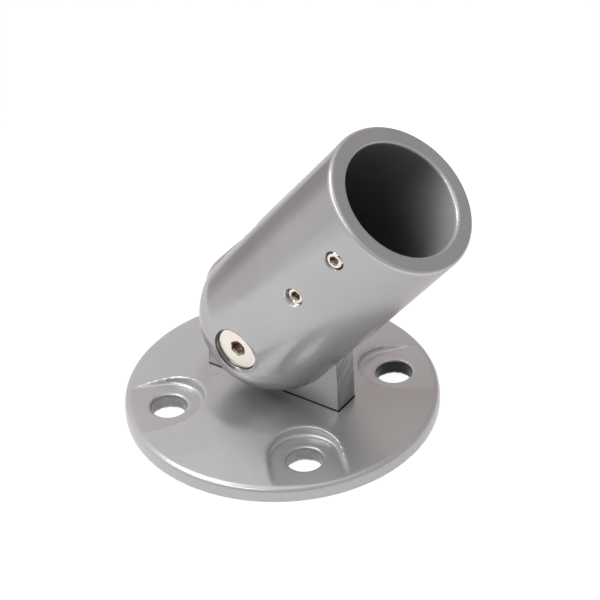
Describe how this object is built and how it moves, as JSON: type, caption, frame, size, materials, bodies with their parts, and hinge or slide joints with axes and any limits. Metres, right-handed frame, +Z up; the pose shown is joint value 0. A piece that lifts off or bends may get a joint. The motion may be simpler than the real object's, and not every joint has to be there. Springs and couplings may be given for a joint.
{
  "type": "railing post mount",
  "caption": "Round base plate with recessed anchor holes and a lug that carries a tilting round socket for a rail post, clamped by set screws.",
  "frame": {"origin": "middle of the base plate's underside, on the axis of the anchor hole circle", "axes": "+Z up, away from the surface that the plate is bolted to; X is the way in which the socket tilts, and it leans to +X at rest; Y runs along the pivot, with the screw heads on the -Y side"},
  "size_m": [0.1512, 0.131, 0.1423],
  "materials": {
    "cast_aluminium": "satin silver-grey tumbled casting with a fine clear finish",
    "milled_aluminium": "matte grey, sawn streaks on the end faces, smooth side faces",
    "stainless_screw": "bright turned stainless steel"
  },
  "bodies": {
    "base": {"base_plate": "cast_aluminium", "lug": "milled_aluminium", "lug_screw_left": "stainless_screw", "lug_screw_right": "stainless_screw"},
    "socket": {"socket": "cast_aluminium", "pivot_screw": "stainless_screw"},
    "set_screw_lower": {"set_screw_lower": "stainless_screw"},
    "set_screw_upper": {"set_screw_upper": "stainless_screw"}
  },
  "joints": [
    {"name": "socket_tilt", "type": "hinge", "parent": "base", "child": "socket", "pos_m": [0, 0, 0.0464], "axis": [0, 1, 0], "range_deg": [-128.75, 51.25]},
    {"name": "set_screw_lower_travel", "type": "slide", "parent": "socket", "child": "set_screw_lower", "axis": [0, 1, 0], "range_m": [-0.0018, 0.00105]},
    {"name": "set_screw_upper_travel", "type": "slide", "parent": "socket", "child": "set_screw_upper", "axis": [0, 1, 0], "range_m": [-0.0006, 0.00225]}
  ]
}
